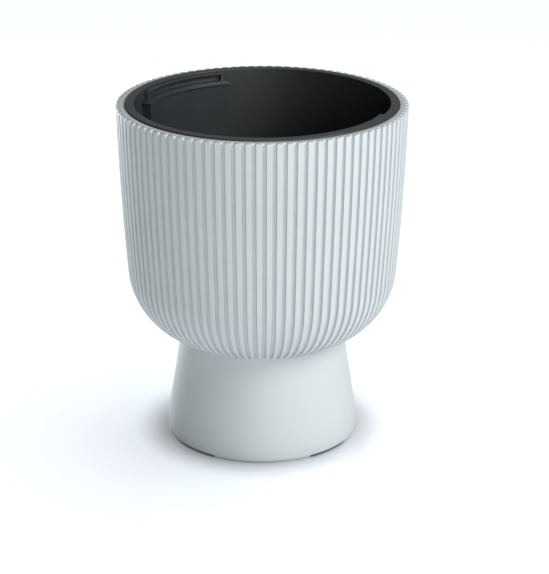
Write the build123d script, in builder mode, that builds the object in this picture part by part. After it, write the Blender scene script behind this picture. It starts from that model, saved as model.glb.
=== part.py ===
"""Self-watering planter: a ribbed bowl on a conical foot, with a lift-out wicking insert.

Millimetres, +Z up. The origin is the centre of the ring that the foot stands on, and the
front is -Y. Profiles are drawn in a plane through the Z axis, as (radius, height).
"""
from build123d import *
import os
from math import cos, radians, sin, sqrt

os.makedirs("parts", exist_ok=True)

# Bowl, measured over the rib crests
BOWL_RADIUS = 150.0          # at the rim
BOWL_TOP = 361.3
CORNER_RADIUS = 79.8         # round lower part of the bowl
CORNER_R = 62.0              # its centre, out from the axis
CORNER_Z = 187.7
WALL_LEAN = 4.3              # degrees from vertical where wall and round part meet
RIM_ROUNDING = 1.0
WALL = 5.2                   # crest to inner face
FLOOR = 3.6
RIM_LEDGE_Z = 358.3          # ledge that the insert's skirt rests on
RIM_RECESS_RADIUS = 141.3
RIM_LEDGE_RADIUS = 137.6
RIM_LEDGE_DEPTH = 3.0

# Ribs: round grooves, cut from the rim down to the neck
RIB_COUNT = 93
GROOVE_RADIUS = 2.1
GROOVE_RUN_OUT = 3.0         # how much wider the groove's lower arc is than the bowl's
GROOVE_OFFSET = 0.7          # degrees from the front to the nearest groove
GROOVE_END = 76.0            # degrees round the lower arc where the cutter stops

# Foot
NECK_RADIUS = 86.4
NECK_Z = 111.5
FOOT_LOWER_RADIUS = 100.7    # where the straight cone ends
FOOT_LOWER_Z = 23.0
FOOT_EDGE_RADIUS = 102.4
FOOT_EDGE_Z = 3.0
FOOT_STEP = 0.6              # the four feet stand in from the cone's edge
FOOT_CONTACT_RADIUS = 100.9
FOOT_WALL = 3.0
FOOT_GAP_HALF_ANGLE = 15.0
FOOT_GAP_HEIGHT = 2.8
FOOT_CLEARANCE = 0.15        # between bowl and foot
PLATE_THICKNESS = 3.0
PLATE_BORE = 34.0
WEB_COUNT = 8
WEB_HEIGHT = 20.0
WEB_THICKNESS = 2.0

# Foot screws, into blind bosses in the bowl's floor
SCREW_COUNT = 4
SCREW_CIRCLE = 55.0
SCREW_RADIUS = 1.9
SCREW_LENGTH = 15.0
SCREW_HEAD_RADIUS = 4.0
SCREW_HEAD_HEIGHT = 2.6
PILOT_RADIUS = 1.95
BOSS_RADIUS = 6.0
BOSS_TOP = 125.0
BOSS_CAP = 3.0
FLOOR_DISC_RADIUS = 47.0     # flat middle of the floor, inside the ribbed wall

# Drain plug and its washer
DRAIN_RADIUS = 10.0
PLUG_CLEARANCE = 0.07
PLUG_REACH = 2.5             # above the bowl's inner floor
SEAL_RADIUS = 13.6
SEAL_THICKNESS = 1.8
PLUG_HEAD_RADIUS = 14.5
PLUG_HEAD_HEIGHT = 3.5
PLUG_GRIP_HEIGHT = 9.0
PLUG_GRIP_LENGTH = 18.0
PLUG_GRIP_THICKNESS = 3.0

# Insert
INSERT_TOP = 362.8
INSERT_RIM_RADIUS = 141.0
INSERT_MOUTH_RADIUS = 131.6
INSERT_WALL = 2.3
INSERT_SKIRT = 2.2
INSERT_CORNER = 22.0
INSERT_FLOOR_Z = 174.5       # upper face of the floor
INSERT_LOWER_RADIUS = 129.2  # inner wall, where the floor's corner starts
DRAIN_HOLE_RADIUS = 2.5
DRAIN_RINGS = ((45.0, 8), (95.0, 16))

# Grips moulded into the insert, at the back left and the front right
GRIP_ANGLES = (135.0, 315.0)
INSET_HALF_ANGLE = 27.5
INSET_RADIUS = 122.5         # inner face of the wall below a grip
SHELF_Z = 352.5
LIP_RADIUS = 120.3
LIP_TOP = 350.3
LIP_THICKNESS = 1.2
LIP_HALF_ANGLE = 29.0
FRAME_RADIUS = 125.5
FRAME_TOP = 361.0
FRAME_HALF_ANGLE = 25.0
FRAME_THICKNESS = 1.7
SIDE_WALL_ANGLE = 1.0        # degrees of arc taken by a side wall
GRIP_BACK_RADIUS = 131.3     # where a grip meets the wall behind it

# Wick cups, wicks and the grate above them
CUP_COUNT = 4
CUP_CIRCLE = 70.0
CUP_TOP_RADIUS = 17.0
CUP_BOTTOM_RADIUS = 14.5
CUP_BOTTOM_Z = 119.0
CUP_WALL = 1.6
CUP_FLOOR = 1.8
CUP_FLANGE_RADIUS = 20.0
CUP_FLANGE_THICKNESS = 1.8
CUP_HOLE_CLEARANCE = 0.3
CUP_SLOT_WIDTH = 2.4
CUP_SLOT_HEIGHT = 16.0
CUP_SLOT_COUNT = 6
CUP_SLOT_HEIGHTS = (140.0, 161.0)
SOCKET_HEIGHT = 6.0
SOCKET_CLEARANCE = 0.3
WICK_RADIUS = 6.0
WICK_TOP = 200.0
GRATE_RADIUS = 117.0
GRATE_Z = 185.0
GRATE_THICKNESS = 2.0
GRATE_RIM_WIDTH = 2.0
GRATE_RIM_DEPTH = 4.0
GRATE_WICK_HOLE = 6.8
GRATE_HOLE_RADIUS = 2.6
GRATE_RINGS = ((14.0, 6), (28.0, 12), (42.0, 18), (55.0, 24), (86.0, 36), (95.5, 40), (107.0, 46))
GRATE_LEGS = ((35.0, 4), (101.3, 8))
GRATE_LEG_RADIUS = 2.0

BOWL_FLOOR_Z = CORNER_Z - CORNER_RADIUS      # underside of the bowl's floor
BOWL_INNER_FLOOR_Z = BOWL_FLOOR_Z + FLOOR


def radial_plane(angle):
    """The plane through the Z axis at an angle: its X points outwards and its Y up."""
    turn = radians(angle)
    return Plane(origin=(0, 0, 0), x_dir=(cos(turn), sin(turn), 0), z_dir=(sin(turn), -cos(turn), 0))


def ring_sector(inner, outer, bottom, top, middle, half_angle):
    """A piece of a square-edged ring, half_angle degrees each side of its middle."""
    with BuildPart() as sector:
        with BuildSketch(radial_plane(middle - half_angle)):
            with Locations(((inner + outer) / 2, (bottom + top) / 2)):
                Rectangle(outer - inner, top - bottom)
        revolve(axis=Axis.Z, revolution_arc=2 * half_angle)
    return sector.part


def save(builder, name):
    """Label a finished piece and write it out."""
    builder.part.label = name
    export_step(builder.part, f"parts/{name}.step")


# ---------------------------------------------------------------- outer bowl
lean = radians(WALL_LEAN)
wall_foot = (CORNER_R + CORNER_RADIUS * cos(lean), CORNER_Z - CORNER_RADIUS * sin(lean))
inner_corner = CORNER_Z - BOWL_INNER_FLOOR_Z
inner_wall_foot = CORNER_R + CORNER_RADIUS - WALL
ledge_bottom = RIM_LEDGE_Z - RIM_LEDGE_DEPTH
inner_wall_top = BOWL_RADIUS - WALL - 0.6
gusset_bottom = ledge_bottom - (inner_wall_top - RIM_LEDGE_RADIUS)

rib_pitch = 360 / RIB_COUNT
groove_angle = GROOVE_OFFSET - 90
run_out_radius = CORNER_RADIUS + GROOVE_RUN_OUT
run_out_r = CORNER_R - GROOVE_RUN_OUT
run_out_end = radians(GROOVE_END)
path_foot = (run_out_r + run_out_radius * cos(lean), CORNER_Z - run_out_radius * sin(lean))
path_end = (
    run_out_r + run_out_radius * cos(run_out_end),
    CORNER_Z - run_out_radius * sin(run_out_end),
)

with BuildPart() as groove_cutter:
    # The path bows with the wall, then rides out of the surface above the neck.
    with BuildLine(radial_plane(groove_angle)) as groove_path:
        upper = TangentArc(path_foot, (BOWL_RADIUS, BOWL_TOP + GROOVE_RADIUS), tangent=(sin(lean), cos(lean)))
        RadiusArc(path_foot, path_end, run_out_radius)
    with BuildSketch(Plane(origin=upper @ 1, z_dir=upper % 1)):
        Circle(GROOVE_RADIUS)
    sweep(path=groove_path.line)

with BuildPart() as rib_wedge:
    # One pitch of the wall, from the middle of a rib to the middle of the next.
    with BuildSketch(radial_plane(groove_angle - rib_pitch / 2)):
        with BuildLine():
            RadiusArc((CORNER_R, BOWL_FLOOR_Z), wall_foot, -CORNER_RADIUS)
            TangentArc(wall_foot, (BOWL_RADIUS, BOWL_TOP), tangent=(sin(lean), cos(lean)))
            Polyline(
                (BOWL_RADIUS, BOWL_TOP),
                (RIM_RECESS_RADIUS, BOWL_TOP),
                (RIM_RECESS_RADIUS, RIM_LEDGE_Z),
                (RIM_LEDGE_RADIUS, RIM_LEDGE_Z),
                (RIM_LEDGE_RADIUS, ledge_bottom),
                (inner_wall_top, gusset_bottom),
                (inner_wall_foot, CORNER_Z),
            )
            RadiusArc((inner_wall_foot, CORNER_Z), (inner_wall_foot - inner_corner, BOWL_INNER_FLOOR_Z),
                      inner_corner)
            Polyline(
                (inner_wall_foot - inner_corner, BOWL_INNER_FLOOR_Z),
                (FLOOR_DISC_RADIUS, BOWL_INNER_FLOOR_Z),
                (FLOOR_DISC_RADIUS, BOWL_FLOOR_Z),
                (CORNER_R, BOWL_FLOOR_Z),
            )
        make_face()
    revolve(axis=Axis.Z, revolution_arc=rib_pitch)
    rim_edges = rib_wedge.edges().filter_by(GeomType.CIRCLE).filter_by(
        lambda edge: abs(edge.radius - BOWL_RADIUS) < 0.01)
    fillet(rim_edges, RIM_ROUNDING)
    add(groove_cutter.part, mode=Mode.SUBTRACT)

# The wedge's faces, without its two cut faces, are copied round and sewn into one ribbed wall.
wall_faces = [
    face for face in rib_wedge.faces()
    if not (face.geom_type == GeomType.PLANE and abs(face.normal_at().Z) < 0.01)
]
ribbed_wall = Solid(Shell([
    face.rotate(Axis.Z, rib_pitch * rib) for rib in range(RIB_COUNT) for face in wall_faces
]))

with BuildPart() as outer_bowl:
    add(ribbed_wall)
    with BuildSketch(Plane.XY.offset(BOWL_FLOOR_Z)):
        Circle(FLOOR_DISC_RADIUS)
    extrude(amount=FLOOR)
    with BuildSketch(Plane.XY.offset(BOWL_INNER_FLOOR_Z - 1)):
        with PolarLocations(SCREW_CIRCLE, SCREW_COUNT, start_angle=45):
            Circle(BOSS_RADIUS)
    extrude(amount=BOSS_TOP - BOWL_INNER_FLOOR_Z + 1)
    with BuildSketch(Plane.XY.offset(BOWL_FLOOR_Z)):
        with PolarLocations(SCREW_CIRCLE, SCREW_COUNT, start_angle=45):
            Circle(PILOT_RADIUS)
    extrude(amount=BOSS_TOP - BOSS_CAP - BOWL_FLOOR_Z, mode=Mode.SUBTRACT)
    with BuildSketch(Plane.XY.offset(BOWL_FLOOR_Z)):
        Circle(DRAIN_RADIUS)
    extrude(amount=FLOOR, mode=Mode.SUBTRACT)
save(outer_bowl, "outer_bowl")

# ---------------------------------------------------------------- foot
seat_radius = CORNER_RADIUS + FOOT_CLEARANCE
seat_edge_z = CORNER_Z - sqrt(seat_radius ** 2 - (NECK_RADIUS - CORNER_R) ** 2)
plate_top = CORNER_Z - seat_radius
plate_bottom = plate_top - PLATE_THICKNESS
cone_slope = (FOOT_LOWER_RADIUS - NECK_RADIUS) / (NECK_Z - FOOT_LOWER_Z)
plate_edge = NECK_RADIUS + (NECK_Z - plate_bottom) * cone_slope - FOOT_WALL
foot_gaps = [
    ring_sector(FOOT_CONTACT_RADIUS - 10, FOOT_EDGE_RADIUS + 5, -1, FOOT_GAP_HEIGHT, 45 + 90 * quarter,
                FOOT_GAP_HALF_ANGLE)
    for quarter in range(4)
]

with BuildPart() as foot_cone:
    with BuildSketch(Plane.XZ):
        with BuildLine():
            Polyline(
                (FOOT_CONTACT_RADIUS, 0),
                (FOOT_EDGE_RADIUS - FOOT_STEP, FOOT_EDGE_Z),
                (FOOT_EDGE_RADIUS, FOOT_EDGE_Z),
            )
            TangentArc((FOOT_LOWER_RADIUS, FOOT_LOWER_Z), (FOOT_EDGE_RADIUS, FOOT_EDGE_Z),
                       tangent=(cone_slope, -1))
            Line((FOOT_LOWER_RADIUS, FOOT_LOWER_Z), (NECK_RADIUS, seat_edge_z))
            RadiusArc((NECK_RADIUS, seat_edge_z), (CORNER_R, plate_top), seat_radius)
            Polyline(
                (CORNER_R, plate_top),
                (PLATE_BORE, plate_top),
                (PLATE_BORE, plate_bottom),
                (plate_edge, plate_bottom),
                (FOOT_LOWER_RADIUS - FOOT_WALL, FOOT_LOWER_Z),
                (FOOT_CONTACT_RADIUS - FOOT_WALL, 0),
                (FOOT_CONTACT_RADIUS, 0),
            )
        make_face()
    revolve(axis=Axis.Z)
    with BuildSketch(Plane.XY.offset(plate_bottom + 1)):
        with PolarLocations((PLATE_BORE + plate_edge) / 2 + 1, WEB_COUNT, start_angle=22.5):
            Rectangle(plate_edge - PLATE_BORE, WEB_THICKNESS)
    extrude(amount=-WEB_HEIGHT)
    with BuildSketch(Plane.XY.offset(plate_bottom)):
        with PolarLocations(SCREW_CIRCLE, SCREW_COUNT, start_angle=45):
            Circle(SCREW_RADIUS + 0.4)
    extrude(amount=PLATE_THICKNESS, mode=Mode.SUBTRACT)
    for gap in foot_gaps:
        add(gap, mode=Mode.SUBTRACT)
save(foot_cone, "foot_cone")

# ---------------------------------------------------------------- foot screws
with BuildPart() as foot_screws:
    with BuildSketch(Plane.XY.offset(plate_bottom)):
        with PolarLocations(SCREW_CIRCLE, SCREW_COUNT, start_angle=45):
            Circle(SCREW_HEAD_RADIUS)
    extrude(amount=-SCREW_HEAD_HEIGHT)
    fillet(foot_screws.edges().group_by(Axis.Z)[0], 1.0)
    with BuildSketch(Plane.XY.offset(plate_bottom)):
        with PolarLocations(SCREW_CIRCLE, SCREW_COUNT, start_angle=45):
            Circle(SCREW_RADIUS)
    extrude(amount=SCREW_LENGTH)
    chamfer(foot_screws.edges().group_by(Axis.Z)[-1], 1.0)
    with BuildSketch(Plane.XY.offset(plate_bottom - SCREW_HEAD_HEIGHT)):
        with PolarLocations(SCREW_CIRCLE, SCREW_COUNT, start_angle=45):
            Rectangle(4.4, 1.0)
            Rectangle(1.0, 4.4)
    extrude(amount=1.5, mode=Mode.SUBTRACT)
save(foot_screws, "foot_screws")

# ---------------------------------------------------------------- drain plug and washer
seal_bottom = BOWL_FLOOR_Z - SEAL_THICKNESS
plug_head_bottom = seal_bottom - PLUG_HEAD_HEIGHT
plug_radius = DRAIN_RADIUS - PLUG_CLEARANCE

with BuildPart() as plug_seal:
    with BuildSketch(Plane.XY.offset(seal_bottom)):
        Circle(SEAL_RADIUS)
        Circle(DRAIN_RADIUS, mode=Mode.SUBTRACT)
    extrude(amount=SEAL_THICKNESS)
save(plug_seal, "plug_seal")

with BuildPart() as drain_plug:
    with BuildSketch(Plane.XY.offset(seal_bottom)):
        Circle(plug_radius)
    extrude(amount=BOWL_INNER_FLOOR_Z + PLUG_REACH - seal_bottom)
    chamfer(drain_plug.edges().group_by(Axis.Z)[-1], 1.5)
    with BuildSketch(Plane.XY.offset(seal_bottom)):
        Circle(PLUG_HEAD_RADIUS)
    extrude(amount=-PLUG_HEAD_HEIGHT)
    with BuildSketch(Plane.XY.offset(plug_head_bottom)):
        RectangleRounded(PLUG_GRIP_LENGTH, PLUG_GRIP_THICKNESS, 1.2)
    extrude(amount=-PLUG_GRIP_HEIGHT)
save(drain_plug, "drain_plug")

# ---------------------------------------------------------------- insert liner
floor_bottom = INSERT_FLOOR_Z - INSERT_WALL
corner_centre = (INSERT_LOWER_RADIUS - INSERT_CORNER, INSERT_FLOOR_Z + INSERT_CORNER)
rim_bottom = INSERT_TOP - INSERT_WALL
skirt_inner = INSERT_RIM_RADIUS - INSERT_SKIRT
outer_corner = INSERT_CORNER + INSERT_WALL

inset_blocks = []
inset_hollows = []
grip_lips = []
grip_frames = []
grip_pockets = []
for middle in GRIP_ANGLES:
    inset_blocks.append(ring_sector(INSET_RADIUS, INSERT_LOWER_RADIUS + INSERT_WALL, INSERT_FLOOR_Z + 2,
                                    SHELF_Z, middle, INSET_HALF_ANGLE))
    inset_hollows.append(ring_sector(INSET_RADIUS + INSERT_WALL, INSERT_RIM_RADIUS, floor_bottom - 5,
                                     SHELF_Z - INSERT_WALL, middle, INSET_HALF_ANGLE - SIDE_WALL_ANGLE))
    grip_lips.append(ring_sector(LIP_RADIUS, INSERT_LOWER_RADIUS + INSERT_WALL, LIP_TOP - LIP_THICKNESS,
                                 LIP_TOP, middle, LIP_HALF_ANGLE))
    grip_frames.append(ring_sector(FRAME_RADIUS, INSERT_MOUTH_RADIUS + 1, SHELF_Z - 1, FRAME_TOP, middle,
                                   FRAME_HALF_ANGLE))
    grip_pockets.append(ring_sector(FRAME_RADIUS - 5, INSERT_MOUTH_RADIUS - 0.4, SHELF_Z,
                                    FRAME_TOP - FRAME_THICKNESS, middle,
                                    FRAME_HALF_ANGLE - SIDE_WALL_ANGLE))

with BuildPart() as insert_liner:
    with BuildSketch(Plane.XZ):
        with BuildLine():
            Polyline(
                (0, floor_bottom),
                (0, INSERT_FLOOR_Z),
                (corner_centre[0], INSERT_FLOOR_Z),
            )
            RadiusArc((corner_centre[0], INSERT_FLOOR_Z), (INSERT_LOWER_RADIUS, corner_centre[1]),
                      -INSERT_CORNER)
            Polyline(
                (INSERT_LOWER_RADIUS, corner_centre[1]),
                (INSERT_MOUTH_RADIUS, INSERT_TOP),
                (INSERT_RIM_RADIUS, INSERT_TOP),
                (INSERT_RIM_RADIUS, RIM_LEDGE_Z),
                (skirt_inner, RIM_LEDGE_Z),
                (skirt_inner, rim_bottom),
                (INSERT_MOUTH_RADIUS + INSERT_WALL, rim_bottom),
                (INSERT_LOWER_RADIUS + INSERT_WALL, corner_centre[1]),
            )
            RadiusArc((INSERT_LOWER_RADIUS + INSERT_WALL, corner_centre[1]),
                      (corner_centre[0], floor_bottom), outer_corner)
            Line((corner_centre[0], floor_bottom), (0, floor_bottom))
        make_face()
    revolve(axis=Axis.Z)
    fillet(insert_liner.edges().filter_by(GeomType.CIRCLE).group_by(Axis.Z)[-1], 0.8)
    for block in inset_blocks + grip_lips + grip_frames:
        add(block)
    for hollow in inset_hollows + grip_pockets:
        add(hollow, mode=Mode.SUBTRACT)
    with BuildSketch(Plane.XY.offset(floor_bottom)):
        with PolarLocations(CUP_CIRCLE, CUP_COUNT):
            Circle(CUP_TOP_RADIUS + CUP_HOLE_CLEARANCE)
        for ring_radius, hole_count in DRAIN_RINGS:
            with PolarLocations(ring_radius, hole_count, start_angle=180 / hole_count):
                Circle(DRAIN_HOLE_RADIUS)
    extrude(amount=INSERT_WALL, mode=Mode.SUBTRACT)

# The two grips are nodes of their own, parted from the wall along faces that touch.
grip_zones = [
    ring_sector(LIP_RADIUS - 2, GRIP_BACK_RADIUS, LIP_TOP - LIP_THICKNESS, FRAME_TOP + 1, middle,
                LIP_HALF_ANGLE + 1)
    for middle in GRIP_ANGLES
]
for number, zone in enumerate(grip_zones, 1):
    with BuildPart() as insert_grip:
        add(insert_liner.part)
        add(zone, mode=Mode.INTERSECT)
    save(insert_grip, f"insert_grip_{number}")

with BuildPart() as liner_wall:
    add(insert_liner.part)
    for zone in grip_zones:
        add(zone, mode=Mode.SUBTRACT)
save(liner_wall, "insert_liner")

# ---------------------------------------------------------------- wick cups and wicks
cup_floor_z = CUP_BOTTOM_Z + CUP_FLOOR
socket_bore = WICK_RADIUS + SOCKET_CLEARANCE

for number in range(1, CUP_COUNT + 1):
    turn = radians(360 / CUP_COUNT * (number - 1))
    cup_axis = Plane(origin=(CUP_CIRCLE * cos(turn), CUP_CIRCLE * sin(turn), 0))
    cup_profile_plane = Plane(origin=cup_axis.origin, x_dir=(1, 0, 0), z_dir=(0, -1, 0))

    with BuildPart() as wick_cup:
        with BuildSketch(cup_profile_plane):
            with BuildLine():
                Polyline(
                    (0, CUP_BOTTOM_Z),
                    (CUP_BOTTOM_RADIUS, CUP_BOTTOM_Z),
                    (CUP_TOP_RADIUS, INSERT_FLOOR_Z),
                    (CUP_FLANGE_RADIUS, INSERT_FLOOR_Z),
                    (CUP_FLANGE_RADIUS, INSERT_FLOOR_Z + CUP_FLANGE_THICKNESS),
                    (CUP_TOP_RADIUS - CUP_WALL, INSERT_FLOOR_Z + CUP_FLANGE_THICKNESS),
                    (CUP_BOTTOM_RADIUS - CUP_WALL, cup_floor_z),
                    (socket_bore + CUP_WALL, cup_floor_z),
                    (socket_bore + CUP_WALL, cup_floor_z + SOCKET_HEIGHT),
                    (socket_bore, cup_floor_z + SOCKET_HEIGHT),
                    (socket_bore, cup_floor_z),
                    (0, cup_floor_z),
                    (0, CUP_BOTTOM_Z),
                )
            make_face()
        revolve(axis=Axis(cup_axis.origin, (0, 0, 1)))
        for slot_middle in CUP_SLOT_HEIGHTS:
            with BuildSketch(cup_axis.offset(slot_middle - CUP_SLOT_HEIGHT / 2)):
                with PolarLocations(CUP_TOP_RADIUS, CUP_SLOT_COUNT):
                    Rectangle(12, CUP_SLOT_WIDTH)
            extrude(amount=CUP_SLOT_HEIGHT, mode=Mode.SUBTRACT)
    save(wick_cup, f"wick_cup_{number}")

    with BuildPart() as wick:
        with BuildSketch(cup_axis.offset(cup_floor_z)):
            Circle(WICK_RADIUS)
        extrude(amount=WICK_TOP - cup_floor_z)
    save(wick, f"wick_{number}")

# ---------------------------------------------------------------- soil grate
with BuildPart() as soil_grate:
    with BuildSketch(Plane.XY.offset(GRATE_Z)):
        Circle(GRATE_RADIUS)
        with PolarLocations(CUP_CIRCLE, CUP_COUNT):
            Circle(GRATE_WICK_HOLE, mode=Mode.SUBTRACT)
        for ring_radius, hole_count in GRATE_RINGS:
            with PolarLocations(ring_radius, hole_count, start_angle=180 / hole_count):
                Circle(GRATE_HOLE_RADIUS, mode=Mode.SUBTRACT)
        with PolarLocations(CUP_CIRCLE, 16, start_angle=360 / 32):
            Circle(GRATE_HOLE_RADIUS, mode=Mode.SUBTRACT)
    extrude(amount=GRATE_THICKNESS)
    with BuildSketch(Plane.XY.offset(GRATE_Z)):
        Circle(GRATE_RADIUS)
        Circle(GRATE_RADIUS - GRATE_RIM_WIDTH, mode=Mode.SUBTRACT)
    extrude(amount=-GRATE_RIM_DEPTH)
    with BuildSketch(Plane.XY.offset(INSERT_FLOOR_Z)):
        for ring_radius, leg_count in GRATE_LEGS:
            with PolarLocations(ring_radius, leg_count):
                Circle(GRATE_LEG_RADIUS)
    extrude(amount=GRATE_Z - INSERT_FLOOR_Z)
save(soil_grate, "soil_grate")
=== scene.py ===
"""Looks of the self-watering planter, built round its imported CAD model.

Everything is in metres, in the CAD's frame: +Z up, the front is -Y, and the origin is the
centre of the ring that the foot stands on.
"""
import math

import bmesh
import bpy
import numpy as np
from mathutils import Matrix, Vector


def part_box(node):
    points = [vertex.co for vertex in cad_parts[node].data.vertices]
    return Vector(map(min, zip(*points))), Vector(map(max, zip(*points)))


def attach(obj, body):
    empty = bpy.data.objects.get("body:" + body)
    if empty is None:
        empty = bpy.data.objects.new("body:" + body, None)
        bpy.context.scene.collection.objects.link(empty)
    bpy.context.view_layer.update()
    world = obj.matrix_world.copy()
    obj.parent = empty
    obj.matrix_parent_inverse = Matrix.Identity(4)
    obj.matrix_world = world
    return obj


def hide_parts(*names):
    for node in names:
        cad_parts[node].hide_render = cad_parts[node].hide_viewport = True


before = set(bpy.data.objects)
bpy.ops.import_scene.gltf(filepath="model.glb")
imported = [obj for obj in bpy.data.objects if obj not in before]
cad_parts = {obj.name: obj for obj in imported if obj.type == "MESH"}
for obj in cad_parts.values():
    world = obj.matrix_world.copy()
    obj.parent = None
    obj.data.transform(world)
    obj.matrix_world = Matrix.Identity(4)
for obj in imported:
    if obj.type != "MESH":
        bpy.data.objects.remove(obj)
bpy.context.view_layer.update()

MM = 0.001
TURN = 2 * math.pi

# ------------------------------------------------------------------ sizes, from the CAD nodes
bowl_low, bowl_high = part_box("outer_bowl")
_, foot_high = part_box("foot_cone")

BOWL_RADIUS = bowl_high.x
BOWL_TOP = bowl_high.z
BOWL_BASE = bowl_low.z
CORNER_RADIUS = 79.8 * MM                 # of the bowl's round lower part, in section
CORNER_OUT = 62.0 * MM                    # its centre's distance from the axis
CORNER_Z = BOWL_BASE + CORNER_RADIUS      # its centre's height
CORNER_LOW_ANGLE = math.radians(-76)      # where the ribbed wall starts on it, at the neck
WALL_LEAN = math.radians(4.3)             # of the wall where the round part ends
WALL = 5.2 * MM
BOWL_FLOOR = 3.6 * MM
RIM_LEDGE_Z = BOWL_TOP - 3.0 * MM
RIM_RECESS_RADIUS = 141.3 * MM
RIM_LEDGE_RADIUS = 137.6 * MM
RIM_ROUNDING = 0.9 * MM
RIM_LAND_RADIUS = 146.0 * MM              # on the rim's flat top, just inside the grooves
DRAIN_RADIUS = 10.0 * MM
BOSS_RADIUS = 6.0 * MM                    # the four bosses that the foot's screws bite into
BOSS_TOP = 125.0 * MM
BOSS_OUT = 55.0 * MM

RIB_COUNT = 93
GROOVE_ANGLE = math.radians(-89.2)        # of one groove's middle
GROOVE_DEPTH = 3.0 * MM
GROOVE_END = 12.0 * MM                    # along the wall, from the neck to the grooves' round ends
GROOVE_LEAST_RADIUS = 84.0 * MM           # columns stop spreading round the axis below this
# mesh columns, from a groove's middle to its edge, crowded where its side is steep
GROOVE_COLUMNS = np.array((0.75, 1.35, 1.7, 1.95, 2.1, 2.25)) * MM

FOOT_EDGE_RADIUS = foot_high.x
FOOT_TOP = foot_high.z
FOOT_WALL = 3.0 * MM
FOOT_NECK_RADIUS = 86.4 * MM              # of the cone at its top
FOOT_SKIRT_RADIUS = 100.7 * MM            # of the cone where it starts to curve to its edge
FOOT_SKIRT_Z = 23.0 * MM
FOOT_CONE_TOP = 111.5 * MM                # height at which the cone has the neck's radius
FOOT_EDGE_Z = 2.8 * MM                    # the edge stands off the floor on four low arcs
SEAT_GAP = 0.15 * MM                      # between the bowl and the seat that it stands in
PLATE = 3.0 * MM                          # thickness of the foot's plate, under the bowl
PLATE_HOLE_RADIUS = 34.0 * MM
ARC_COUNT = 4
ARC_HALF_ANGLE = math.radians(30)
WEB_COUNT = 8
GRIP_ROUNDING = 0.35 * MM


# ------------------------------------------------------------------ mesh helpers
def rounded_path(corners, closed=False, steps=5):
    """Points along a polyline of (r, z, rounding) corners, with arcs for the rounded ones."""
    points = []
    count = len(corners)
    for index, (r, z, rounding) in enumerate(corners):
        here = np.array((r, z))
        inner = closed or 0 < index < count - 1
        if not rounding or not inner:
            points.append(here)
            continue
        before = np.array(corners[index - 1][:2]) - here
        after = np.array(corners[(index + 1) % count][:2]) - here
        before /= np.linalg.norm(before)
        after /= np.linalg.norm(after)
        half = math.acos(np.clip(before @ after, -1, 1)) / 2
        reach = rounding / math.tan(half)
        start, end = here + before * reach, here + after * reach
        middle = (before + after) / np.linalg.norm(before + after)
        centre = here + middle * rounding / math.sin(half)
        sweep = math.pi - 2 * half
        for part in np.linspace(0, 1, steps + 1):
            near_start = math.sin((1 - part) * sweep) * (start - centre)
            near_end = math.sin(part * sweep) * (end - centre)
            points.append(centre + (near_start + near_end) / math.sin(sweep))
    return np.array(points)


def subdivide(points, longest, closed=False):
    """The same path with no step longer than that."""
    result = []
    ends = points[1:] if not closed else np.vstack((points[1:], points[:1]))
    for start, end in zip(points, ends):
        pieces = max(1, math.ceil(np.linalg.norm(end - start) / longest))
        result += [start + (end - start) * k / pieces for k in range(pieces)]
    if not closed:
        result.append(points[-1])
    return np.array(result)


def add_object(name, data):
    piece = bpy.data.objects.new(name, data)
    bpy.context.scene.collection.objects.link(piece)
    return piece


def build_mesh(name, vertices, faces, sharp=35):
    """A smooth-shaded object whose edges stay sharp where they turn by that many degrees."""
    mesh = bpy.data.meshes.new(name)
    mesh.from_pydata(vertices.tolist(), [], faces)
    mesh.update()
    mesh.shade_smooth()
    mesh.set_sharp_from_angle(angle=math.radians(sharp))
    return add_object(name, mesh)


def grid_faces(rows, columns, wrap_rows, wrap_columns):
    """Quads of a grid of vertices, outward when rows run up and columns run anticlockwise."""
    faces = []
    for i in range(rows if wrap_rows else rows - 1):
        low, high = i * columns, (i + 1) % rows * columns
        for j in range(columns if wrap_columns else columns - 1):
            k = (j + 1) % columns
            faces.append((low + j, low + k, high + k, high + j))
    return faces


def turned(radii, heights, angles):
    """Vertices for radii and heights given per row, or per row and column."""
    shape = (len(radii), angles.shape[-1])
    radii = np.broadcast_to(radii if radii.ndim == 2 else radii[:, None], shape)
    heights = np.broadcast_to(heights if heights.ndim == 2 else heights[:, None], shape)
    vertices = np.stack((radii * np.cos(angles), radii * np.sin(angles), heights), axis=2)
    return vertices.reshape(-1, 3)


def lathe(name, profile, columns, shift=(0, 0, 0)):
    """A ring turned from a closed (r, z) profile that runs anticlockwise in the r-z plane."""
    angles = np.arange(columns) * TURN / columns
    vertices = turned(profile[:, 0], profile[:, 1], angles) + np.array(shift)
    return build_mesh(name, vertices, grid_faces(len(profile), columns, True, True))


def arc_points(centre_r, centre_z, radius, start, end, steps):
    angles = np.linspace(start, end, steps + 1)
    spokes = np.stack((np.cos(angles), np.sin(angles)), axis=1)
    return np.array((centre_r, centre_z)) + radius * spokes


def join(name, pieces):
    """One object from several."""
    bpy.ops.object.select_all(action="DESELECT")
    for piece in pieces:
        piece.select_set(True)
    bpy.context.view_layer.objects.active = pieces[0]
    bpy.ops.object.join()
    pieces[0].name = name
    pieces[0].data.name = name
    return pieces[0]


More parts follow.
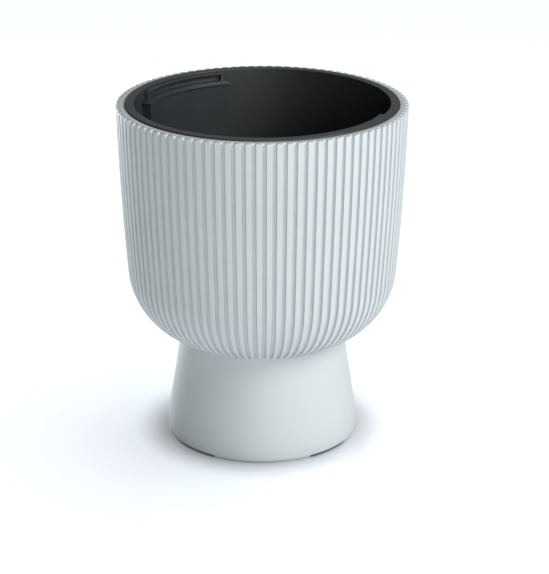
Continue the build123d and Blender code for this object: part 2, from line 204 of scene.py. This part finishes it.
# ------------------------------------------------------------------ outer bowl
def bowl_outline():
    """The crest of a rib from the neck to the rim, as (r, z) points."""
    lower = arc_points(CORNER_OUT, CORNER_Z, CORNER_RADIUS, CORNER_LOW_ANGLE, -WALL_LEAN, 58)
    start = lower[-1]
    chord = np.array((BOWL_RADIUS, BOWL_TOP)) - start
    bow = math.atan2(chord[1], chord[0]) - (math.pi / 2 - WALL_LEAN)
    radius = np.linalg.norm(chord) / 2 / math.sin(bow)
    # the wall leaves the round part on its tangent and bows gently to the rim
    parts = np.linspace(0, 1, 31)[1:]
    heading = (math.pi / 2 - WALL_LEAN) + 2 * bow * parts
    out = np.sin(heading) - math.cos(WALL_LEAN)
    up = math.sin(WALL_LEAN) - np.cos(heading)
    return np.vstack((lower, start + radius * np.stack((out, up), axis=1)))


def groove_depth(across, beyond):
    """How deep the wall is cut at a distance across a groove, and beyond its round lower end."""
    distance = np.hypot(across, np.maximum(beyond, 0))
    inside = np.clip(distance / GROOVE_COLUMNS[-1], 0, 1)
    return GROOVE_DEPTH * np.sqrt(1 - inside ** 5)


def groove_columns(radii):
    """Angles from the middle of a groove, for each radius and each mesh column of one pitch."""
    half_pitch = math.pi / RIB_COUNT
    near = GROOVE_COLUMNS[None, :] / np.maximum(radii, GROOVE_LEAST_RADIUS)[:, None]
    zero = np.zeros((len(radii), 1))
    return np.hstack((-near[:, ::-1], zero, near, zero + half_pitch))


def bowl_inside():
    """The smooth part of the bowl's section, from the rim's flat top down inside and under."""
    rim = rounded_path([
        (RIM_LAND_RADIUS, BOWL_TOP, 0),
        (RIM_RECESS_RADIUS, BOWL_TOP, 0.4 * MM),
        (RIM_RECESS_RADIUS, RIM_LEDGE_Z, 0.2 * MM),
        (RIM_LEDGE_RADIUS, RIM_LEDGE_Z, 0.4 * MM),
        (RIM_LEDGE_RADIUS, RIM_LEDGE_Z - 3 * MM, 0.6 * MM),
        (BOWL_RADIUS - WALL - 0.6 * MM, RIM_LEDGE_Z - 9.6 * MM, 3 * MM),
        (CORNER_OUT + CORNER_RADIUS - WALL, CORNER_Z, 0),
    ])
    inner_radius = CORNER_RADIUS - BOWL_FLOOR
    inner_out = CORNER_OUT + CORNER_RADIUS - WALL - inner_radius
    inner = arc_points(inner_out, CORNER_Z, inner_radius, 0, -math.pi / 2, 24)[1:]
    base = rounded_path([
        (inner[-1][0], inner[-1][1], 0),
        (DRAIN_RADIUS, inner[-1][1], 0.5 * MM),
        (DRAIN_RADIUS, BOWL_BASE, 0.5 * MM),
        (CORNER_OUT, BOWL_BASE, 0),
    ])[1:]
    under = arc_points(
        CORNER_OUT, CORNER_Z, CORNER_RADIUS, -math.pi / 2, CORNER_LOW_ANGLE, 8
    )[1:-1]
    return subdivide(np.vstack((rim, inner, base, under)), 14 * MM)


def make_bowl():
    """The bowl, its outline cut in along its normals by the grooves, with its four bosses."""
    outline = bowl_outline()
    tangent = np.gradient(outline, axis=0)
    tangent /= np.linalg.norm(tangent, axis=1)[:, None]
    normal = np.stack((tangent[:, 1], -tangent[:, 0]), axis=1)
    length = np.concatenate(([0], np.cumsum(np.linalg.norm(np.diff(outline, axis=0), axis=1))))
    across = np.tile(np.abs(groove_columns(outline[:, 0])), RIB_COUNT) * outline[:, 0:1]
    depth = groove_depth(across, (GROOVE_END - length)[:, None])
    columns = depth.shape[1]
    # the ribbed wall stops where the rim's rounded edge starts
    depth_at_rim = depth[-1]
    outline = outline[length < length[-1] - RIM_ROUNDING]
    depth = depth[:len(outline)]
    normal = normal[:len(outline)]
    wall_r = outline[:, 0:1] - normal[:, 0:1] * depth
    wall_z = outline[:, 1:2] - normal[:, 1:2] * depth
    turn = np.linspace(0, math.pi / 2, 6)[:, None]
    edge_r = (BOWL_RADIUS - RIM_ROUNDING - depth_at_rim)[None, :] + RIM_ROUNDING * np.cos(turn)
    edge_z = np.broadcast_to(BOWL_TOP - RIM_ROUNDING + RIM_ROUNDING * np.sin(turn), edge_r.shape)
    inside = bowl_inside()
    all_r = np.vstack((wall_r, edge_r, np.repeat(inside[:, 0:1], columns, axis=1)))
    all_z = np.vstack((wall_z, edge_z, np.repeat(inside[:, 1:2], columns, axis=1)))
    # a groove keeps its width down to the neck, so its columns spread out round the axis
    inside_radii = np.interp(
        np.arange(len(inside)), (0, len(inside) - 1), (BOWL_RADIUS, outline[0, 0])
    )
    row_radii = np.concatenate((outline[:, 0], np.full(len(edge_r), BOWL_RADIUS), inside_radii))
    groove_of_column = np.repeat(np.arange(RIB_COUNT), columns // RIB_COUNT)
    turns = GROOVE_ANGLE + groove_of_column * TURN / RIB_COUNT
    angles = turns[None, :] + np.tile(groove_columns(row_radii), RIB_COUNT)
    faces = grid_faces(len(all_r), columns, True, True)
    shell = build_mesh("bowl_shell", turned(all_r, all_z, angles), faces, sharp=60)
    bosses = [make_boss(f"boss_{k}", TURN / 8 + k * TURN / 4) for k in range(4)]
    return join("bowl", [shell] + bosses)


def make_boss(name, angle):
    """A round boss with a rounded end, inside the bowl, out from the axis at an angle."""
    tip = 0.05 * MM
    bottom = BOWL_BASE + 2 * MM
    profile = rounded_path([
        (tip, bottom, 0),
        (BOSS_RADIUS, bottom, 0),
        (BOSS_RADIUS, BOSS_TOP, 1.2 * MM),
        (tip, BOSS_TOP, 0),
    ])
    return lathe(name, profile, 32, (BOSS_OUT * math.cos(angle), BOSS_OUT * math.sin(angle), 0))


# ------------------------------------------------------------------ foot
def make_foot():
    """The foot: cone, seat for the bowl, plate with webs, and the arcs that it stands on."""
    plate_top = BOWL_BASE - SEAT_GAP
    plate_bottom = plate_top - PLATE
    slope = (FOOT_SKIRT_RADIUS - FOOT_NECK_RADIUS) / (FOOT_CONE_TOP - FOOT_SKIRT_Z)
    plate_edge = FOOT_NECK_RADIUS + (FOOT_CONE_TOP - plate_bottom) * slope - FOOT_WALL
    seat_radius = CORNER_RADIUS + SEAT_GAP
    seat_angle = math.asin((CORNER_Z - FOOT_TOP) / seat_radius)
    seat = arc_points(CORNER_OUT, CORNER_Z, seat_radius, -seat_angle, -math.pi / 2, 14)
    outer = rounded_path([
        (98.6 * MM, FOOT_EDGE_Z, 0),
        (FOOT_EDGE_RADIUS, FOOT_EDGE_Z, 0.5 * MM),
        (101.95 * MM, 12 * MM, 12 * MM),
        (FOOT_SKIRT_RADIUS, FOOT_SKIRT_Z, 12 * MM),
        (FOOT_NECK_RADIUS, FOOT_TOP, 0.3 * MM),
        (84.0 * MM, FOOT_TOP - 0.6 * MM, 0),
    ], steps=6)[:-1]
    inside = rounded_path([
        (PLATE_HOLE_RADIUS, plate_top, 0.4 * MM),
        (PLATE_HOLE_RADIUS, plate_bottom, 0.4 * MM),
        (plate_edge, plate_bottom, 2 * MM),
        (FOOT_SKIRT_RADIUS - FOOT_WALL, FOOT_SKIRT_Z, 0),
    ])
    section = subdivide(np.vstack((outer, seat, inside)), 10 * MM, closed=True)
    cone = lathe("cone_shell", section, 480)
    arcs = [foot_arc(f"arc_{k}", -TURN / 4 + k * TURN / ARC_COUNT) for k in range(ARC_COUNT)]
    webs = [
        foot_web(f"web_{k}", (k + 0.5) * TURN / WEB_COUNT, plate_bottom, plate_edge)
        for k in range(WEB_COUNT)
    ]
    return join("foot", [cone] + arcs + webs)


def foot_arc(name, middle):
    """One of the four low arcs that the foot stands on."""
    profile = rounded_path([
        (97.9 * MM, 0, 0.5 * MM),
        (100.9 * MM, 0, 0.5 * MM),
        (101.8 * MM, 3.0 * MM, 0),
        (98.2 * MM, 3.0 * MM, 0),
    ], closed=True, steps=3)
    angles = middle + np.linspace(-ARC_HALF_ANGLE, ARC_HALF_ANGLE, 61)
    vertices = turned(profile[:, 0], profile[:, 1], angles)
    columns = len(angles)
    faces = grid_faces(len(profile), columns, True, False)
    faces.append([i * columns for i in range(len(profile))])
    faces.append([i * columns + columns - 1 for i in reversed(range(len(profile)))])
    return build_mesh(name, vertices, faces)


def foot_web(name, angle, plate_bottom, plate_edge):
    """A stiffening web under the foot's plate."""
    inner = PLATE_HOLE_RADIUS + 2 * MM
    outer = plate_edge + 1.2 * MM
    half = 1.0 * MM
    side = [
        (inner, plate_bottom + 1 * MM),
        (outer, plate_bottom + 1 * MM),
        (outer + 2.4 * MM, plate_bottom - 19 * MM),
        (inner, plate_bottom - 12 * MM),
    ]
    cosine, sine = math.cos(angle), math.sin(angle)
    vertices = [
        (r * cosine - y * sine, r * sine + y * cosine, z) for y in (-half, half) for r, z in side
    ]
    edges = [(i, i + 4, (i + 1) % 4 + 4, (i + 1) % 4) for i in range(4)]
    mesh = bpy.data.meshes.new(name)
    mesh.from_pydata(vertices, [], [(0, 1, 2, 3), (7, 6, 5, 4)] + edges)
    mesh.update()
    return add_object(name, mesh)


# ------------------------------------------------------------------ softened CAD pieces
def softened(name, node, width):
    """A copy of a moulded CAD node with its sharp edges rounded over."""
    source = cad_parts[node]
    plain = source.data.copy()
    plain.transform(source.matrix_world)
    shape = bmesh.new()
    shape.from_mesh(plain)
    bpy.data.meshes.remove(plain)
    bmesh.ops.remove_doubles(shape, verts=shape.verts[:], dist=0.002 * MM)
    bmesh.ops.dissolve_limit(
        shape, angle_limit=math.radians(0.5), verts=shape.verts[:], edges=shape.edges[:]
    )
    bmesh.ops.dissolve_degenerate(shape, dist=0.02 * MM, edges=shape.edges[:])
    edges = [
        edge for edge in shape.edges
        if len(edge.link_faces) == 2 and edge.calc_face_angle() > math.radians(35)
    ]
    bmesh.ops.bevel(
        shape, geom=edges, offset=width, offset_type="OFFSET", segments=2, profile=0.5,
        affect="EDGES", clamp_overlap=True,
    )
    mesh = bpy.data.meshes.new(name)
    shape.to_mesh(mesh)
    shape.free()
    mesh.shade_smooth()
    mesh.set_sharp_from_angle(angle=math.radians(40))
    return add_object(name, mesh)


# ------------------------------------------------------------------ materials
def new_material(name, color, roughness):
    material = bpy.data.materials.new(name)
    material.use_nodes = True
    shader = material.node_tree.nodes["Principled BSDF"]
    shader.inputs["Base Color"].default_value = (*color, 1)
    shader.inputs["Roughness"].default_value = roughness
    return material, material.node_tree, shader


def add_noise(tree, scale, detail, distortion=0.0):
    """Noise over the object's own coordinates."""
    coordinates = tree.nodes.new("ShaderNodeTexCoord")
    noise = tree.nodes.new("ShaderNodeTexNoise")
    noise.inputs["Scale"].default_value = scale
    noise.inputs["Detail"].default_value = detail
    noise.inputs["Distortion"].default_value = distortion
    tree.links.new(coordinates.outputs["Object"], noise.inputs["Vector"])
    return noise


def mottle(tree, shader, noise, color, factors, positions):
    """Let the colour run between two multiples of itself as the noise rises."""
    ramp = tree.nodes.new("ShaderNodeValToRGB")
    for element, factor, position in zip(ramp.color_ramp.elements, factors, positions):
        element.position = position
        element.color = (*(min(1, channel * factor) for channel in color), 1)
    tree.links.new(noise.outputs["Fac"], ramp.inputs["Fac"])
    tree.links.new(ramp.outputs["Color"], shader.inputs["Base Color"])


def vary_gloss(tree, shader, noise, low, high):
    gloss = tree.nodes.new("ShaderNodeMapRange")
    gloss.inputs["To Min"].default_value = low
    gloss.inputs["To Max"].default_value = high
    tree.links.new(noise.outputs["Fac"], gloss.inputs["Value"])
    tree.links.new(gloss.outputs["Result"], shader.inputs["Roughness"])


def add_bump(tree, shader, noise, strength, distance):
    bump = tree.nodes.new("ShaderNodeBump")
    bump.inputs["Strength"].default_value = strength
    bump.inputs["Distance"].default_value = distance
    tree.links.new(noise.outputs["Fac"], bump.inputs["Height"])
    tree.links.new(bump.outputs["Normal"], shader.inputs["Normal"])


def moulded_plastic(name, color, roughness, grain, tint):
    """Moulded plastic: fine eroded texture, faint cloudiness in colour and gloss."""
    material, tree, shader = new_material(name, color, roughness)
    cloud = add_noise(tree, 9.0, 4.0)
    mottle(tree, shader, cloud, color, (1 - tint, 1 + tint), (0.35, 0.65))
    vary_gloss(tree, shader, cloud, roughness - 0.05, roughness + 0.05)
    add_bump(tree, shader, add_noise(tree, 2600.0, 2.0), grain, 0.2 * MM)
    return material


def felt(name, color):
    """Needled felt: mottled colour, fibres as a fine uneven bump, and a soft sheen."""
    material, tree, shader = new_material(name, color, 0.95)
    shader.inputs["Sheen Weight"].default_value = 0.3
    fibres = add_noise(tree, 900.0, 6.0, 3.0)
    mottle(tree, shader, fibres, color, (0.7, 1.15), (0.3, 0.7))
    add_bump(tree, shader, fibres, 0.8, 0.8 * MM)
    return material


def plated_steel(name):
    """Zinc-plated steel with an uneven gloss."""
    material, tree, shader = new_material(name, (0.56, 0.57, 0.59), 0.35)
    shader.inputs["Metallic"].default_value = 1.0
    vary_gloss(tree, shader, add_noise(tree, 700.0, 3.0), 0.28, 0.45)
    return material


def dress(piece, material):
    piece.data.materials.clear()
    piece.data.materials.append(material)


def place(piece, body, material, slot, *nodes):
    """Finish a new piece: its material, its body, and hiding the CAD nodes it stands for. The slot
    is not used.
    """
    dress(piece, material)
    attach(piece, body)
    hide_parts(*nodes)


# each plastic: name, colour, roughness, grain and tint
pot_look = moulded_plastic("pot_plastic_look", (0.52, 0.554, 0.566), 0.5, 0.15, 0.015)
insert_look = moulded_plastic("insert_plastic_look", (0.030, 0.034, 0.037), 0.42, 0.15, 0.08)
grate_look = moulded_plastic("grate_plastic_look", (0.026, 0.029, 0.031), 0.5, 0.2, 0.1)
cup_look = moulded_plastic("cup_plastic_look", (0.024, 0.027, 0.029), 0.5, 0.2, 0.1)
plug_look = moulded_plastic("plug_plastic_look", (0.04, 0.044, 0.047), 0.45, 0.15, 0.1)
seal_look = moulded_plastic("seal_rubber_look", (0.012, 0.012, 0.013), 0.7, 0.3, 0.15)
felt_look = felt("wick_felt_look", (0.40, 0.375, 0.32))
steel_look = plated_steel("screw_steel_look")


# ------------------------------------------------------------------ pieces
place(make_bowl(), "pot", pot_look, "pot_plastic", "outer_bowl")
place(make_foot(), "pot", pot_look, "foot_plastic", "foot_cone")
for side in (1, 2):
    grip = softened(f"grip_{side}", f"insert_grip_{side}", GRIP_ROUNDING)
    place(grip, "insert", insert_look, "insert_plastic", f"insert_grip_{side}")

# the other CAD nodes keep their shapes
node_looks = {
    "insert_liner": insert_look,
    "soil_grate": grate_look,
    "drain_plug": plug_look,
    "plug_seal": seal_look,
    "foot_screws": steel_look,
}
for number in range(1, 5):
    node_looks[f"wick_cup_{number}"] = cup_look
    node_looks[f"wick_{number}"] = felt_look
for node, look in node_looks.items():
    dress(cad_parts[node], look)


# ------------------------------------------------------------------ floor, light and camera
def floor_look():
    """A pale floor that glows evenly away from the object. Near its foot the glow fades out, as
    painted shade under and around the foot.
    """
    material, tree, shader = new_material("floor_look", (0.79, 0.81, 0.84), 0.22)
    shader.inputs["Emission Color"].default_value = (0.90, 0.96, 1, 1)
    coordinates = tree.nodes.new("ShaderNodeTexCoord")
    distance = tree.nodes.new("ShaderNodeVectorMath")
    distance.operation = "LENGTH"
    tree.links.new(coordinates.outputs["Object"], distance.inputs[0])
    # painted shade: the glow rises from nothing within 92 mm of the axis to full beyond 145 mm,
    # darkening the floor under and round the foot
    glow = tree.nodes.new("ShaderNodeMapRange")
    glow.interpolation_type = "SMOOTHSTEP"
    glow.inputs["From Min"].default_value = 92 * MM
    glow.inputs["From Max"].default_value = 145 * MM
    glow.inputs["To Max"].default_value = 0.48
    tree.links.new(distance.outputs["Value"], glow.inputs["Value"])
    tree.links.new(glow.outputs["Result"], shader.inputs["Emission Strength"])
    return material


def make_floor():
    half = 30.0
    mesh = bpy.data.meshes.new("floor")
    corners = [(-half, -half, 0), (half, -half, 0), (half, half, 0), (-half, half, 0)]
    mesh.from_pydata(corners, [], [(0, 1, 2, 3)])
    floor = add_object("floor", mesh)
    dress(floor, floor_look())
    return floor


def add_lamp(name, light, location, target, floor, state):
    """Point a lamp at a target. It lights the floor alone (INCLUDE) or all but it (EXCLUDE)."""
    lamp = add_object(name, light)
    lamp.location = location
    across, along, down = np.array(target) - np.array(location)
    pitch = math.atan2(math.hypot(across, along), -down)
    lamp.rotation_euler = (pitch, 0, math.atan2(across, -along) + math.pi)
    linked = bpy.data.collections.new(name + "_receivers")
    linked.objects.link(floor)
    linked.collection_objects[0].light_linking.link_state = state
    lamp.light_linking.receiver_collection = linked


def object_light(name, location, target, size, power, floor):
    """A rectangular lamp for the object, which leaves the floor alone."""
    light = bpy.data.lights.new(name, "AREA")
    light.shape = "RECTANGLE"
    light.size, light.size_y = size
    light.energy = power
    add_lamp(name, light, location, target, floor, "EXCLUDE")


def floor_light(floor):
    """A wide soft light from above for the floor alone."""
    light = bpy.data.lights.new("floor_glow", "SUN")
    light.angle = math.radians(80)
    light.energy = 2.9
    add_lamp("floor_glow", light, (0.7, 0.3, 2.6), (0, 0, 0), floor, "INCLUDE")


def make_world():
    world = bpy.data.worlds.new("studio")
    world.use_nodes = True
    background = world.node_tree.nodes["Background"]
    background.inputs["Color"].default_value = (0.86, 0.94, 1.0, 1)
    background.inputs["Strength"].default_value = 0.05
    bpy.context.scene.world = world


def make_camera():
    camera_data = bpy.data.cameras.new("camera")
    camera_data.sensor_width = 36
    camera_data.lens = 116.3
    camera_data.shift_x = 0.0213
    camera_data.clip_end = 100
    camera = add_object("camera", camera_data)
    camera.location = (0, -1.841, 0.872)
    camera.rotation_euler = (math.radians(90 - 21.2), 0, 0)
    bpy.context.scene.camera = camera


stage_floor = make_floor()
make_world()
# each lamp: name, where it stands, what it is aimed at, its size in metres and its power
object_light("key", (1.9, -1.1, 1.9), (0, 0, 0.2), (1.4, 1.4), 67, stage_floor)
object_light("front", (0.5, -2.5, 0.9), (0, 0, 0.2), (1.2, 1.2), 23, stage_floor)
object_light("edge", (-1.3, 2.1, 0.13), (0, 0, 0.1), (0.8, 0.25), 55, stage_floor)
object_light("back", (0.3, 3.0, 1.4), (0, 0, 0.3), (3.0, 1.0), 4, stage_floor)
object_light("top", (0, 0.2, 2.6), (0, 0, 0.2), (0.6, 0.6), 7, stage_floor)
floor_light(stage_floor)
make_camera()
bpy.context.scene.view_settings.view_transform = "Standard"
